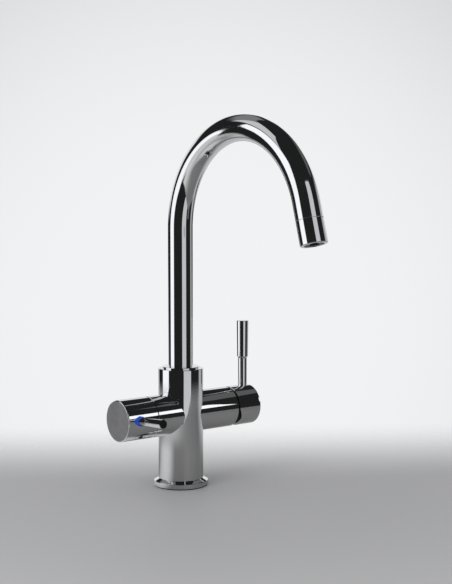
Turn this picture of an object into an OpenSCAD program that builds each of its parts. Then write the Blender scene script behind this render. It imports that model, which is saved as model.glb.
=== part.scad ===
// Three-way kitchen tap: one column, a mixer barrel on the right, a filter barrel on the left
// and a swivelling swan-neck spout with a separate inner tube for the filtered water.
// Millimetres, +Z up, spout towards -Y, origin on the worktop in the column's axis.

/* [Column] */
// Diameter of the upright column
body_d = 50; // [48:0.5:54]
// Height of the column's top face above the worktop
body_h = 132; // [129:1:150]
// Diameter of the base flange
flange_d = 60.5; // [58:0.5:70]
// Height of the flange's upright rim
flange_rim_h = 6.4; // [5.6:0.1:8]
// Height at which the flange's slope meets the column
flange_h = 9; // [8.5:0.5:14]
// Thickness of the rubber seal under the flange
seal_t = 1.5; // [1.2:0.1:2.5]
// Depth by which the seal sits inside the flange
seal_hold = 0.5; // [0.3:0.1:0.8]
// Height of the column's foot inside the flange
foot_h = 5; // [4:0.5:5.5]
// Diameter of the recess under the column
recess_d = 41; // [39:0.5:43]
// Height of the recess ceiling above the worktop
recess_h = 26; // [20:1:34]

/* [Inlets] */
// Tapping diameter of the hose threads
inlet_d = 9; // [8:0.5:10]
// Depth of the hose threads
inlet_depth = 12; // [10:1:15]
// Distance between the hot and the cold inlet
inlet_spread = 14; // [13:0.5:16]
// Distance of the hot and cold inlets from the column's axis, to the right
inlet_side = 13; // [11:0.5:13.5]
// Distance of the filtered inlet from the column's axis, to the left
filter_inlet_side = 14; // [13:0.5:15]
// Tapping diameter of the fixing stud threads
stud_d = 5; // [4:0.5:6]
// Distance between the two fixing studs
stud_spread = 28; // [26:0.5:30]
// Diameter of the drilled waterways
waterway_d = 5; // [4:0.5:5.5]

/* [Barrels] */
// Outside diameter of both barrels, the knob and the cap
barrel_d = 45.2; // [44:0.2:48]
// Height of the barrels' common axis
barrel_z = 81.2; // [78:0.2:84]
// Distance of the left stub's end from the column's axis
stub_end = 45; // [43:0.5:50]
// Distance of the mixer barrel's end from the column's axis
mixer_end = 65.6; // [64:0.2:75]

/* [Filter knob] */
// Gap between the stub and the knob
knob_gap = 0.5; // [0.3:0.1:1]
// Length of the knob
knob_len = 38.6; // [36:0.2:44]
// Width of the bright rim round the knob's and the cap's end disc
disc_rim = 0.9; // [0.7:0.1:2]
// Thickness of the end discs
disc_t = 1.6; // [1:0.1:2.4]
// Depth of the knob's hollow over the valve
knob_hollow = 13.6; // [13.2:0.2:15]
// Distance of the pin lever from the knob's end face
pin_inset = 14.2; // [11:0.1:15]
// Angle of the pin lever above the horizontal when the valve is shut
pin_angle = 4.5; // [0:0.5:10]
// Distance of the pin lever's end from the barrel axis
pin_reach = 65.5; // [60:0.5:80]
// Diameter of the pin lever's rod
pin_d = 8.4; // [7:0.2:9]
// Length of the pin lever's grip
pin_grip_len = 21.5; // [15:0.5:26]
// Diameter of the grip where it starts
pin_grip_d = 9.2; // [9.1:0.1:11]
// Diameter of the grip at its end
pin_tip_d = 10; // [9.5:0.1:12]
// Width of the bright rim round the pin lever's end plug
pin_rim = 0.75; // [0.6:0.05:1.5]
// Outside diameter of the blue marker ring
marker_d = 10.8; // [10.4:0.2:14]
// Length of the blue marker ring in front of the knob
marker_len = 3; // [2:0.5:9]

/* [Mixer handle] */
// Gap between the mixer barrel and the cap's mouth
mouth_gap = 2.1; // [1.6:0.1:3]
// Length of the cap
cap_len = 30.5; // [29.5:0.5:34]
// Travel of the lever from shut to full flow, in degrees
tilt_travel = 18; // [12:1:18]
// Radius of the cap's and the knob's outer edge
edge_r = 1.1; // [0.4:0.1:1.5]
// Distance of the lever from the cap's end face
lever_inset = 9.4; // [8.6:0.1:10]
// Height of the lever's top above the barrel axis
lever_h = 98.3; // [85:1:120]
// Diameter of the lever's rod
rod_d = 10.2; // [9:0.2:11]
// Length of the lever's grip
grip_len = 41.5; // [30:0.5:50]
// Diameter of the grip at its lower end
grip_d = 12.6; // [12:0.2:15]
// Diameter of the grip at its top
grip_tip_d = 13.4; // [12.6:0.2:17]

/* [Spout] */
// Outside diameter of the spout tube
tube_d = 27.4; // [26.4:0.2:28]
// Wall of the spout tube
tube_wall = 1.5; // [1:0.1:2]
// Height at which the bend begins
spout_h = 287.2; // [240:1:340]
// Radius of the bend's centre line
bend_r = 105.4; // [80:1:130]
// Angle of the bend
bend_angle = 164.5; // [150:0.5:180]
// Straight length of tube after the bend
tip_len = 16.7; // [12:0.5:40]
// Length of the aerator collar
aerator_len = 25; // [23:0.5:32]
// Outside diameter of the inner tube for filtered water
filter_tube_d = 8; // [7:0.5:9]
// Wall of the inner tube
filter_tube_wall = 1; // [0.6:0.1:1.5]
// Length by which the filter nozzle stands out of the tip
nozzle_out = 1.3; // [0.5:0.1:3]

/* [Cartridge] */
// Diameter of the mixer cartridge
cartridge_d = 35; // [34:0.5:36]
// Diameter of the cartridge's neck
neck_d = 29; // [28.6:0.2:29.4]
// Width of the square lever stem
stem_w = 8; // [7:0.2:8.4]
// Diameter of the tilt pin
tilt_pin_d = 3; // [2:0.5:4]
// Thickness of each ceramic disc
ceramic_t = 3; // [2.5:0.1:3.2]

/* [Filter valve] */
// Diameter of the valve's thread
valve_d = 20.8; // [20:0.2:21.4]
// Width across the flats of the valve's hexagon
valve_hex = 24; // [23:0.5:26]
// Diameter of the splined spindle end
spline_d = 8; // [7:0.2:9]

/* [Fits] */
// Clearance of a turning fit, on the radius
run_gap = 0.06; // [0.04:0.01:0.08]
// Clearance of a fixed fit, on the radius
fit_gap = 0.04; // [0.02:0.01:0.08]
// Clearance round parts that swing or slide
free_gap = 0.3; // [0.25:0.05:0.5]

/* [Hidden] */
$fn = 96;

CHROME = [0.82, 0.83, 0.85];
SATIN = [0.55, 0.55, 0.56];
BRASS = [0.78, 0.64, 0.34];
STEEL = [0.66, 0.67, 0.69];
RUBBER = [0.09, 0.09, 0.1];
BLACK = [0.05, 0.05, 0.06];
PLASTIC = [0.9, 0.9, 0.86];
CERAMIC = [0.93, 0.92, 0.9];
BLUE = [0.05, 0.22, 0.8];

// Overshoot of a cutting tool past the face that it cuts
past = 1;
// Fine chamfer on machined edges
chamfer = 0.4;
body_r = body_d / 2;
barrel_r = barrel_d / 2;
flange_r = flange_d / 2;
recess_r = recess_d / 2;
seal_r = flange_r - 0.9;
rim_foot = seal_t - seal_hold;
stud_depth = 12;
waterway_r = waterway_d / 2;

// Levels of the spout's seat: the nut hangs from the column's top, the rest stands on the chamber
nut_t = 6;
nut_proud = 2;
nut_inset = 4.4;
nut_r = body_r - nut_inset;
chamber_rise = 10;
nose_len = 12.8;
socket_r = 17;
thrust_t = 2;
shoulder_t = 3;
nut_z = body_h - nut_t;
chamber_z = barrel_z + chamber_rise;
socket_z = chamber_z + nose_len;
shoulder_z = socket_z + thrust_t;
tube_foot = shoulder_z + shoulder_t;
nose_r = 12;
nose_foot = chamber_z + 1;
nose_bore = 9.5;
o_ring_t = 1.8;
o_ring_step = 4;
o_ring_drop = 3.4;
o_ring_z = socket_z - o_ring_drop;
shank_len = 20;
tube_r = tube_d / 2;
tube_bore = tube_r - tube_wall;

// The inner tube's seat below the mixing chamber
filter_r = filter_tube_d / 2;
filter_bore = filter_r - filter_tube_wall;
filter_sink = 7;
filter_foot = chamber_z - filter_sink;
filter_seal_t = 1.6;
filter_seal_drop = 4;
filter_seal_z = chamber_z - filter_seal_drop;
filter_passage_drop = 7.8;
filter_passage_z = barrel_z - filter_passage_drop;
filter_passage_y = -filter_passage_drop;
filter_passage_r = 1.8;

// The spout's tip, measured along the tube from the end of the bend
collar_z = tip_len + 0.25;
collar_end = tip_len + aerator_len;
socket_len = 8;
screw_r = tube_r - 2.1;
thread_wall = 2.2;
spigot_in = 6;
bend_sag = 0.25;
washer_z = tip_len + socket_len + 0.05;
washer_t = 1.6;
screen_z = washer_z + washer_t;
screen_t = 0.6;
insert_z = screen_z + screen_t;
lip_t = 1.2;
lip_r = screw_r - 1.4;
insert_r = screw_r - 0.1;
nozzle_r = filter_r + 0.9;
nozzle_z = washer_z - 3;
nozzle_bore = filter_bore - 1;
nozzle_edge = 0.8;
barb_len = 4;
insert_holes = 14;
insert_hole_r = 1;

// The mixer cartridge, measured along the barrel axis from the column's axis
pivot_out = 2.4;
pivot_x = mixer_end + pivot_out;
cartridge_len = 28;
disc_stack = 10.3;
shoulder_back = 10;
cartridge_r = cartridge_d / 2;
neck_r = neck_d / 2;
seat_x = pivot_x - cartridge_len;
base_t = 5;
fixed_x = seat_x + base_t;
moving_x = fixed_x + ceramic_t + 0.05;
slider_x = moving_x + ceramic_t;
slider_t = disc_stack - 2 * ceramic_t;
carrier_x = slider_x + slider_t + 0.1;
shoulder_x = pivot_x - shoulder_back;
housing_shoulder_t = 2;
carrier_flange_t = shoulder_x - carrier_x - 0.1;
housing_out = 4;
housing_end = pivot_x + housing_out;
carrier_end = housing_end + 1;
housing_bore = cartridge_r - 1.8;
neck_bore = neck_r - 2.4;
stem_reach = 13.4;
stem_ball_r = 3.2;
stem_rod_r = 2.6;
stem_hub_r = 5;
slider_travel = stem_reach * sin(tilt_travel);
slider_r = housing_bore - slider_travel - 0.4;
slot_w = stem_w + 2 * free_gap;
slot_up = slider_travel + stem_ball_r + 2 * free_gap;
slot_down = (carrier_end - pivot_x) * sin(tilt_travel) + stem_w / 2 / cos(tilt_travel) + 2 * free_gap;
port_r = waterway_r;
port_y = 5.7;
port_high = 5.8;
port_low = 3.6;
PORTS = [[port_high, -port_y], [port_high, port_y], [-port_low, 0]];
port_seal_r = 4.4;
port_seal_t = 1.2;
riser_clear = 5.2;
mixed_riser_x = filter_r + riser_clear;
disc_hollow_r = 5.4;
disc_hollow_drop = 2;
peg_r = 1.5;
peg_y = 12.5;
peg_z = -5;
peg_len = 2;
nut_bore_r = cartridge_r + 1.1;
nut_x = shoulder_x + housing_shoulder_t;
nut_nose_r = neck_r + 2.5;
nut_nose_x = pivot_x + 2;

// The dome and the cap's hollow share the tilt pin as their centre
dome_r = barrel_r - 1.8;
dome_t = 1.3;
dome_x = mixer_end + 0.1;
dome_hole_r = 16;
dome_hub_t = 1.4;
hollow_r = dome_r + 0.4;
mouth_x = mixer_end + mouth_gap;
mouth_slope = tilt_travel + 1;
cap_end = mouth_x + cap_len;
lever_x = cap_end - lever_inset;
boss_r = stem_w / 2 + 3.6;
boss_x = carrier_end + 3.6;
stem_end = cap_end - disc_t - 0.3;
thread_r = 4;
thread_len = 6.5;
seat_drop = 1.2;
grip_cone = 2.4;
grip_z = lever_h - grip_len - grip_cone;
spigot_r = 3.2;
spigot_len = 12;
grub_r = 2.5;
grub_len = 9;
grub_hex = 2.5;
grub_hex_depth = 2.5;
handle_grub_x = stem_end - 3;
notch_w = 4.6;
notch_depth = 2;
notch_angle = 20;
disc_r = barrel_r - disc_rim;

// The filter knob and its valve, measured to the left from the column's axis
knob_x = stub_end + knob_gap;
knob_end = knob_x + knob_len;
pin_x = knob_end - pin_inset;
pin_thread_r = 3;
pin_thread_len = 8;
pin_cone = 1;
pin_grip_x = pin_reach - pin_grip_len - pin_cone;
pin_spigot_r = 2.4;
pin_spigot_len = 9;
plug_depth = 1.6;
plug_inset = 0.2;
marker_seat = 1.4;
knob_hollow_r = valve_hex / 2 + 3;
knob_grub_set = 4.5;
knob_grub_x = knob_x + knob_hollow + knob_grub_set;
knob_grub_angle = 52;
valve_r = valve_d / 2;
valve_insert = 21;
valve_plain_len = 9;
valve_seat_x = stub_end - valve_insert;
valve_thread_x = valve_seat_x + valve_plain_len;
valve_snout_r = 8.5;
valve_groove_r = 11;
valve_groove_end = valve_thread_x - 1;
valve_groove_set = 4;
valve_groove_x = valve_seat_x + valve_groove_set;
valve_seal_t = 0.9;
valve_disc_t = 2.5;
valve_disc_r = 6.8;
valve_foot_x = valve_seat_x + valve_seal_t;
valve_fixed_x = valve_foot_x + 0.4;
valve_moving_x = valve_fixed_x + valve_disc_t + 0.05;
spindle_x = valve_moving_x + valve_disc_t;
valve_bore_r = 7;
valve_nose_bore_r = 5.2;
valve_hex_t = 5;
valve_nose_r = 8.4;
valve_nose_x = knob_x + knob_hollow - 2.4;
spindle_plate_len = 9;
spindle_step_x = spindle_x + spindle_plate_len;
spindle_r = valve_nose_bore_r - run_gap;
spindle_o_set = 4;
spindle_o_x = spindle_step_x + spindle_o_set;
clip_t = 1;
clip_w = 1.4;
clip_groove = 0.8;
spindle_collar_t = 0.8;
spindle_slot = 2.2;
valve_inlet_r = 5.6;
spline_r = spline_d / 2;
spline_teeth = 12;
spline_cut = 0.5;
spline_end = knob_end - disc_t - 0.6;
window_w = 6;
window_len = 4;

// Turns a shape so that its Z axis runs along the barrels, to the right of x
module right(x) {
    translate([x, 0, barrel_z]) rotate([0, 90, 0]) children();
}

// The same to the left, with distances counted outwards
module left(x) {
    translate([-x, 0, barrel_z]) rotate([0, -90, 0]) children();
}

// Solid of revolution from a half outline of [radius, height] points
module turned(points) {
    rotate_extrude() polygon(points);
}

// Plain ring that stands on the XY plane
module ring(inner, outer, height) {
    turned([[inner, 0], [outer, 0], [outer, height], [inner, height]]);
}

// Rubber ring of round section, centred on its own height
module o_ring(inner, section) {
    rotate_extrude() translate([inner + section / 2, 0]) circle(d = section, $fn = 32);
}

// Cylinder with a fine chamfer on both edges
module rod(radius, height) {
    turned([
        [0, 0], [radius - chamfer, 0], [radius, chamfer],
        [radius, height - chamfer], [radius - chamfer, height], [0, height]
    ]);
}

// Section of the spout, carried from a foot up the straight and round the bend
module along_spout(foot) {
    translate([0, 0, foot]) rotate([0, 0, 90]) linear_extrude(spout_h - foot) children();
    translate([0, -bend_r, spout_h]) rotate([90, 0, 90])
        rotate_extrude(angle = bend_angle) translate([bend_r, 0]) children();
}

// Frame at the end of the bend, with Z along the flow
module at_tip(z) {
    translate([0, -bend_r, spout_h]) rotate([bend_angle, 0, 0]) translate([0, bend_r, z]) children();
}

// Grub screw with a hexagon socket, its point on the XY plane
module grub_screw(length) {
    difference() {
        turned([
            [0, 0], [grub_r - 1, 0], [grub_r, 1],
            [grub_r, length - chamfer], [grub_r - chamfer, length], [0, length]
        ]);
        translate([0, 0, length - grub_hex_depth])
            cylinder(d = grub_hex / cos(30), h = grub_hex_depth + past, $fn = 6);
    }
}

// Rubber seal that the flange presses on the worktop
module base_seal() color(RUBBER) ring(recess_r, seal_r, seal_t);

// Sloping ring that covers the worktop hole and seats the column
module base_flange() color(CHROME) turned([
    [recess_r, seal_t], [seal_r + fit_gap, seal_t], [seal_r + fit_gap, rim_foot],
    [flange_r - chamfer, rim_foot], [flange_r, rim_foot + chamfer],
    [flange_r, flange_rim_h - chamfer], [flange_r - chamfer, flange_rim_h],
    [body_r + fit_gap, flange_h], [body_r + fit_gap, foot_h], [recess_r, foot_h]
]);

// Column and barrels in one casting, with the seats and waterways
module tap_body() color(CHROME) difference() {
    union() {
        translate([0, 0, foot_h]) rod(body_r, body_h - foot_h);
        right(-stub_end) rod(barrel_r, stub_end + mixer_end);
    }
    translate([0, 0, foot_h - past]) cylinder(r = recess_r, h = recess_h - foot_h + past);
    spout_seat_cut();
    inlet_cuts();
    cartridge_seat_cut();
    valve_seat_cut();
}

// Stepped bore from the column's top down to the inner tube's seat
module spout_seat_cut() {
    turned([
        [0, filter_passage_z], [filter_passage_r, filter_passage_z], [filter_passage_r, filter_foot],
        [filter_r + run_gap, filter_foot], [filter_r + run_gap, filter_seal_z - filter_seal_t / 2],
        [filter_r + filter_seal_t, filter_seal_z - filter_seal_t / 2],
        [filter_r + filter_seal_t, filter_seal_z + filter_seal_t / 2],
        [filter_r + run_gap, filter_seal_z + filter_seal_t / 2], [filter_r + run_gap, chamber_z],
        [nose_r + run_gap, chamber_z], [nose_r + run_gap, socket_z], [socket_r, socket_z],
        [socket_r, nut_z], [nut_r, nut_z], [nut_r, body_h - chamfer], [nut_r + chamfer, body_h],
        [nut_r + chamfer, body_h + past], [0, body_h + past]
    ]);
}

// Threaded ports under the column and the waterways that rise from them
module inlet_cuts() {
    for (side = [-1, 1]) {
        translate([inlet_side, side * inlet_spread / 2, recess_h - past])
            cylinder(d = inlet_d, h = inlet_depth + past);
        translate([inlet_side, side * inlet_spread / 2, recess_h])
            cylinder(r = waterway_r, h = barrel_z + port_high - recess_h);
        translate([inlet_side - waterway_r, side * port_y, barrel_z + port_high]) rotate([0, 90, 0])
            cylinder(r = waterway_r, h = seat_x - inlet_side + waterway_r + past);
        translate([0, side * stud_spread / 2, recess_h - past])
            cylinder(d = stud_d, h = stud_depth + past);
    }
    translate([-filter_inlet_side, 0, recess_h - past]) cylinder(d = inlet_d, h = inlet_depth + past);
    translate([-filter_inlet_side, 0, recess_h]) cylinder(r = waterway_r, h = barrel_z - recess_h);
}

// Bore for the cartridge, its nut thread and the mixed water's way up to the spout
module cartridge_seat_cut() {
    right(seat_x) cylinder(r = cartridge_r + fit_gap, h = mixer_end - seat_x + past);
    right(nut_x - past) cylinder(r = nut_bore_r + fit_gap, h = mixer_end - nut_x + 2 * past);
    for (side = [-1, 1])
        translate([seat_x - peg_len - 0.3, side * peg_y, barrel_z + peg_z]) rotate([0, 90, 0])
            cylinder(r = peg_r + fit_gap, h = peg_len + past, $fn = 32);
    translate([mixed_riser_x, 0, barrel_z - port_low]) {
        rotate([0, 90, 0]) cylinder(r = waterway_r, h = seat_x - mixed_riser_x + past);
        cylinder(r = waterway_r, h = chamber_z - barrel_z + port_low + past);
    }
}

// Bore for the filter valve, with the passage to the inner tube
module valve_seat_cut() {
    left(filter_inlet_side - waterway_r)
        cylinder(r = waterway_r, h = valve_seat_x - filter_inlet_side + waterway_r + past);
    left(valve_seat_x) cylinder(r = valve_snout_r + fit_gap, h = stub_end - valve_seat_x + past);
    left(valve_groove_x) cylinder(r = valve_groove_r, h = valve_groove_end - valve_groove_x);
    left(valve_thread_x) cylinder(r = valve_r + fit_gap, h = stub_end - valve_thread_x + past);
    translate([0, filter_passage_y, filter_passage_z]) rotate([0, -90, 0])
        cylinder(r = filter_passage_r, h = valve_groove_x + 2);
    translate([0, 0, filter_passage_z]) rotate([90, 0, 0])
        cylinder(r = filter_passage_r, h = -filter_passage_y);
}

// Screwed ring that holds the spout down and stands proud of the column's top
module spout_ring_nut() color(CHROME) translate([0, 0, nut_z]) turned([
    [tube_r + run_gap, 0], [nut_r - fit_gap, 0],
    [nut_r - fit_gap, nut_t + nut_proud - chamfer], [nut_r - fit_gap - chamfer, nut_t + nut_proud],
    [tube_r + run_gap + chamfer, nut_t + nut_proud], [tube_r + run_gap, nut_t + nut_proud - chamfer]
]);

// Plastic sleeve that steadies the spout tube
module upper_bush() color(PLASTIC) translate([0, 0, tube_foot + 0.1])
    ring(tube_r + run_gap, socket_r - fit_gap, nut_z - tube_foot - 0.15);

// Plastic washer that the spout turns on
module lower_bush() color(PLASTIC) translate([0, 0, socket_z])
    ring(nose_r + free_gap, socket_r - fit_gap, thrust_t - 0.05);

// Rubber ring round the inner tube's foot
module filter_tube_seal() color(RUBBER) translate([0, 0, filter_seal_z])
    o_ring(filter_r + run_gap, filter_seal_t - run_gap - 0.05);

// Rubber ring between the casting and the cartridge's hot port
module hot_port_seal() port_seal(PORTS[0]);

// Rubber ring at the cold port
module cold_port_seal() port_seal(PORTS[1]);

// Rubber ring at the mixed water's port
module mixed_port_seal() port_seal(PORTS[2]);

// Flat rubber ring round one port
module port_seal(port) color(RUBBER) at_port(port) ring(port_r + 0.3, port_seal_r, port_seal_t);

// Frame of one of the cartridge's ports, with Z out of the seat
module at_port(port) {
    translate([seat_x, port[1], barrel_z + port[0]]) rotate([0, 90, 0]) children();
}

// The same shape at each of the three ports
module at_ports() {
    for (port = PORTS) at_port(port) children();
}

// Base plate with its ports, seal pockets and locating pegs
module cartridge_base() color(PLASTIC) {
    difference() {
        right(seat_x) cylinder(r = cartridge_r - 0.1, h = base_t);
        at_ports() translate([0, 0, -past]) cylinder(r = port_r, h = base_t + 2 * past);
        at_ports() translate([0, 0, -past]) cylinder(r = port_seal_r + 0.1, h = port_seal_t + past);
    }
    for (side = [-1, 1])
        translate([seat_x - peg_len, side * peg_y, barrel_z + peg_z]) rotate([0, 90, 0])
            cylinder(r = peg_r, h = peg_len, $fn = 32);
}

// Ceramic disc that stays still, with the three ports
module fixed_disc() color(CERAMIC) difference() {
    right(fixed_x) cylinder(r = housing_bore - 0.1, h = ceramic_t);
    at_ports() cylinder(r = port_r, h = base_t + ceramic_t + past);
}

// Stepped shell of the cartridge
module cartridge_housing() color(PLASTIC) right(fixed_x) turned([
    [housing_bore, 0], [cartridge_r - fit_gap, 0], [cartridge_r - fit_gap, nut_x - fixed_x],
    [neck_r, nut_x - fixed_x], [neck_r, housing_end - fixed_x - chamfer],
    [neck_r - chamfer, housing_end - fixed_x], [neck_bore, housing_end - fixed_x],
    [neck_bore, shoulder_x - fixed_x], [housing_bore, shoulder_x - fixed_x]
]);

// Screwed ring that clamps the cartridge and carries the dome
module cartridge_nut() color(BRASS) right(nut_x) turned([
    [neck_r + fit_gap, 0], [nut_bore_r - fit_gap, 0], [nut_bore_r - fit_gap, mixer_end - nut_x],
    [nut_nose_r, mixer_end - nut_x], [nut_nose_r, nut_nose_x - nut_x - chamfer],
    [nut_nose_r - chamfer, nut_nose_x - nut_x], [neck_r + fit_gap, nut_nose_x - nut_x]
]);

// Black cover over the nut, ball-shaped round the tilt pin
module cartridge_dome() color(BLACK) {
    difference() {
        intersection() {
            right(pivot_x) sphere(r = dome_r);
            right(dome_x) cylinder(r = barrel_r, h = 2 * barrel_r);
        }
        right(pivot_x) sphere(r = dome_r - dome_t);
        right(pivot_x) cylinder(r = dome_hole_r, h = 2 * barrel_r);
    }
    right(dome_x) ring(nut_nose_r + fit_gap, dome_r - dome_t / 2, dome_hub_t);
}

// Rubber ring at the valve's inner end
module valve_seal() color(RUBBER) left(valve_seat_x)
    ring(waterway_r + 1.6, valve_snout_r - 0.2, valve_seal_t);

// Brass body of the ceramic valve, with its hexagon and side windows
module valve_body() color(BRASS) difference() {
    union() {
        left(valve_foot_x) cylinder(r = valve_snout_r, h = valve_thread_x - valve_foot_x + past);
        left(valve_thread_x + 0.1) cylinder(r = valve_r, h = stub_end - valve_thread_x);
        left(stub_end + 0.02) cylinder(d = valve_hex / cos(30), h = valve_hex_t, $fn = 6);
        left(stub_end) rod(valve_nose_r, valve_nose_x - stub_end);
    }
    left(valve_foot_x - past) cylinder(r = valve_inlet_r, h = valve_fixed_x - valve_foot_x + 2 * past);
    left(valve_fixed_x) cylinder(r = valve_nose_bore_r, h = valve_nose_x);
    left(valve_fixed_x) cylinder(r = valve_bore_r, h = spindle_step_x - valve_fixed_x);
    for (side = [-1, 1])
        translate([-valve_groove_x - window_len / 2, side * valve_snout_r, barrel_z])
            cube([window_len, window_w, window_w], center = true);
}

// Ceramic disc fixed in the valve body, with two openings
module valve_fixed_disc() color(CERAMIC) left(valve_fixed_x) half_ported_disc(90);

// Ceramic disc with two round ports on the line through its centre
module half_ported_disc(turn) {
    rotate([0, 0, turn]) difference() {
        cylinder(r = valve_disc_r, h = valve_disc_t);
        for (side = [-1, 1])
            translate([side * valve_disc_r / 2, 0, -past]) cylinder(r = 2, h = valve_disc_t + 2 * past);
    }
}

// Snap ring that keeps the spindle in the valve body
module valve_clip() color(STEEL) left(valve_nose_x + 0.05) difference() {
    ring(spindle_r - clip_groove + run_gap, spindle_r + clip_w, clip_t);
    translate([0, -1.5, -past]) cube([valve_nose_r, 3, clip_t + 2 * past]);
}

// Swan-neck tube
module spout_tube() color(CHROME) along_spout(tube_foot) difference() {
    circle(r = tube_r);
    circle(r = tube_bore);
}

// Turned foot of the spout, with its shoulder and seal grooves
module spout_shank() color(BRASS) difference() {
    union() {
        translate([0, 0, nose_foot]) rod(nose_r, shoulder_z - nose_foot + past);
        translate([0, 0, shoulder_z]) cylinder(r = socket_r - free_gap, h = shoulder_t);
        translate([0, 0, tube_foot - past]) rod(tube_bore - fit_gap, shank_len + past);
    }
    translate([0, 0, nose_foot - past]) cylinder(r = nose_bore, h = body_h);
    for (z = [o_ring_z, o_ring_z - o_ring_step])
        translate([0, 0, z - o_ring_t / 2 - 0.1])
            ring(nose_r - o_ring_t, nose_r + past, o_ring_t + 0.2);
}

// Rubber ring in the shank's upper groove
module upper_o_ring() shank_o_ring(o_ring_z);

// Rubber ring in the shank's lower groove
module lower_o_ring() shank_o_ring(o_ring_z - o_ring_step);

// Rubber ring that seals the turning shank
module shank_o_ring(z) color(RUBBER) translate([0, 0, z]) o_ring(nose_r - o_ring_t + 0.02, o_ring_t);

// Inner tube that keeps the filtered water apart
module filter_tube() color(PLASTIC) along_spout(filter_foot + 0.3) difference() {
    circle(r = filter_r);
    circle(r = filter_bore);
}

// Straight end brazed to the bent tube, with a spigot behind and the aerator's thread in front
module tip_socket() color(CHROME) at_tip(0) turned([
    [screw_r - thread_wall, -spigot_in], [tube_bore - bend_sag, -spigot_in],
    [tube_bore - bend_sag, 0.01], [tube_r, 0.01], [tube_r, tip_len - 0.2], [tube_r - 0.2, tip_len],
    [screw_r, tip_len], [screw_r, tip_len + socket_len], [screw_r - thread_wall, tip_len + socket_len]
]);

// Chrome collar that holds the aerator
module aerator_collar() color(CHROME) at_tip(collar_z) turned([
    [screw_r + fit_gap, 0], [tube_r - 0.2, 0], [tube_r, 0.2],
    [tube_r, collar_end - collar_z - 0.7], [tube_r - 0.7, collar_end - collar_z],
    [lip_r, collar_end - collar_z], [lip_r, collar_end - collar_z - lip_t],
    [screw_r + fit_gap, collar_end - collar_z - lip_t]
]);

// Flat rubber washer between the socket and the aerator
module aerator_washer() color(RUBBER) at_tip(washer_z) ring(nozzle_r + 2.6, insert_r, washer_t);

// Steel disc pierced with fine holes
module aerator_screen() color(STEEL) at_tip(screen_z) difference() {
    ring(nozzle_r + fit_gap, insert_r, screen_t);
    for (i = [0:insert_holes - 1])
        rotate([0, 0, 360 / insert_holes * i]) translate([(insert_r + nozzle_r) / 2, 0, -past])
            cylinder(r = insert_hole_r - 0.2, h = screen_t + 2 * past, $fn = 24);
}

// Black insert with a ring of outlets round the filter nozzle
module aerator_insert() color(BLACK) at_tip(insert_z) difference() {
    turned([
        [nozzle_r + fit_gap, 0], [insert_r, 0], [insert_r, collar_end - lip_t - insert_z],
        [lip_r - 0.1, collar_end - lip_t - insert_z], [lip_r - 0.1, collar_end - 0.6 - insert_z],
        [nozzle_r + fit_gap, collar_end - 0.2 - insert_z]
    ]);
    for (i = [0:insert_holes - 1])
        rotate([0, 0, 360 / insert_holes * i]) translate([(lip_r + nozzle_r) / 2, 0, -past])
            cylinder(r = insert_hole_r, h = aerator_len, $fn = 24);
}

// Nozzle with its tail barbed into the inner tube, standing a little out of the tip
module filter_nozzle() color(BLACK) at_tip(0) turned([
    [nozzle_bore, -barb_len], [filter_bore - fit_gap - 0.1, -barb_len],
    [filter_bore - fit_gap - 0.1, 0.01], [filter_r, 0.01], [filter_r, nozzle_z],
    [nozzle_r, nozzle_z + nozzle_r - filter_r], [nozzle_r, collar_end + nozzle_out - nozzle_edge],
    [nozzle_r - nozzle_edge, collar_end + nozzle_out],
    [nozzle_bore, collar_end + nozzle_out]
]);

// Turning yoke of the cartridge, slotted for the stem
module cartridge_carrier() color(PLASTIC) difference() {
    union() {
        right(carrier_x) cylinder(r = housing_bore - 0.4, h = carrier_flange_t);
        right(carrier_x) rod(neck_bore - run_gap, carrier_end - carrier_x);
    }
    translate([carrier_x - past, -slot_w / 2, barrel_z - slot_down])
        cube([carrier_end - carrier_x + 2 * past, slot_w, slot_up + slot_down]);
    translate([pivot_x, 0, barrel_z]) rotate([90, 0, 0])
        cylinder(d = tilt_pin_d + 2 * fit_gap, h = 2 * barrel_r, center = true, $fn = 48);
}

// Steel pin that the stem tilts on
module tilt_pin() color(STEEL) translate([pivot_x, 0, barrel_z]) rotate([90, 0, 0])
    cylinder(d = tilt_pin_d, h = 2 * neck_bore - 4, center = true, $fn = 48);

// Ceramic disc that slides and turns over the fixed one, hollowed to join the ports
module moving_disc() color(CERAMIC) difference() {
    right(moving_x) cylinder(r = slider_r, h = ceramic_t);
    translate([0, 0, -disc_hollow_drop]) right(moving_x - past)
        cylinder(r = disc_hollow_r, h = ceramic_t / 2 + past);
}

// Plastic plate that drives the moving disc, with the stem's pocket
module disc_slider() color(PLASTIC) difference() {
    right(slider_x) cylinder(r = slider_r, h = slider_t);
    translate([pivot_x - stem_reach, 0, barrel_z]) cube(2 * (stem_ball_r + free_gap), center = true);
}

// Lever stem, from its ball in the slider to its square end in the cap
module cartridge_stem() color(STEEL) difference() {
    union() {
        right(pivot_x - stem_reach) sphere(r = stem_ball_r);
        right(pivot_x - stem_reach) cylinder(r = stem_rod_r, h = stem_reach);
        translate([pivot_x, 0, barrel_z]) rotate([90, 0, 0])
            cylinder(r = stem_hub_r, h = stem_w, center = true);
        translate([pivot_x, -stem_w / 2, barrel_z - stem_w / 2])
            cube([stem_end - pivot_x, stem_w, stem_w]);
    }
    translate([pivot_x, 0, barrel_z]) rotate([90, 0, 0])
        cylinder(d = tilt_pin_d + 2 * run_gap, h = 2 * barrel_r, center = true, $fn = 48);
}

// Outline of a barrel-sized shell with a rounded outer edge
module shell(length) {
    difference() {
        union() {
            rod(barrel_r, length - edge_r);
            rotate_extrude() union() {
                translate([0, length - edge_r - 1]) square([barrel_r, 1]);
                translate([0, length - edge_r]) square([barrel_r - edge_r, edge_r]);
                translate([barrel_r - edge_r, length - edge_r]) intersection() {
                    circle(r = edge_r, $fn = 48);
                    square(edge_r);
                }
            }
        }
        translate([0, 0, length - disc_t]) cylinder(r = disc_r + fit_gap, h = disc_t + past);
    }
}

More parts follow.
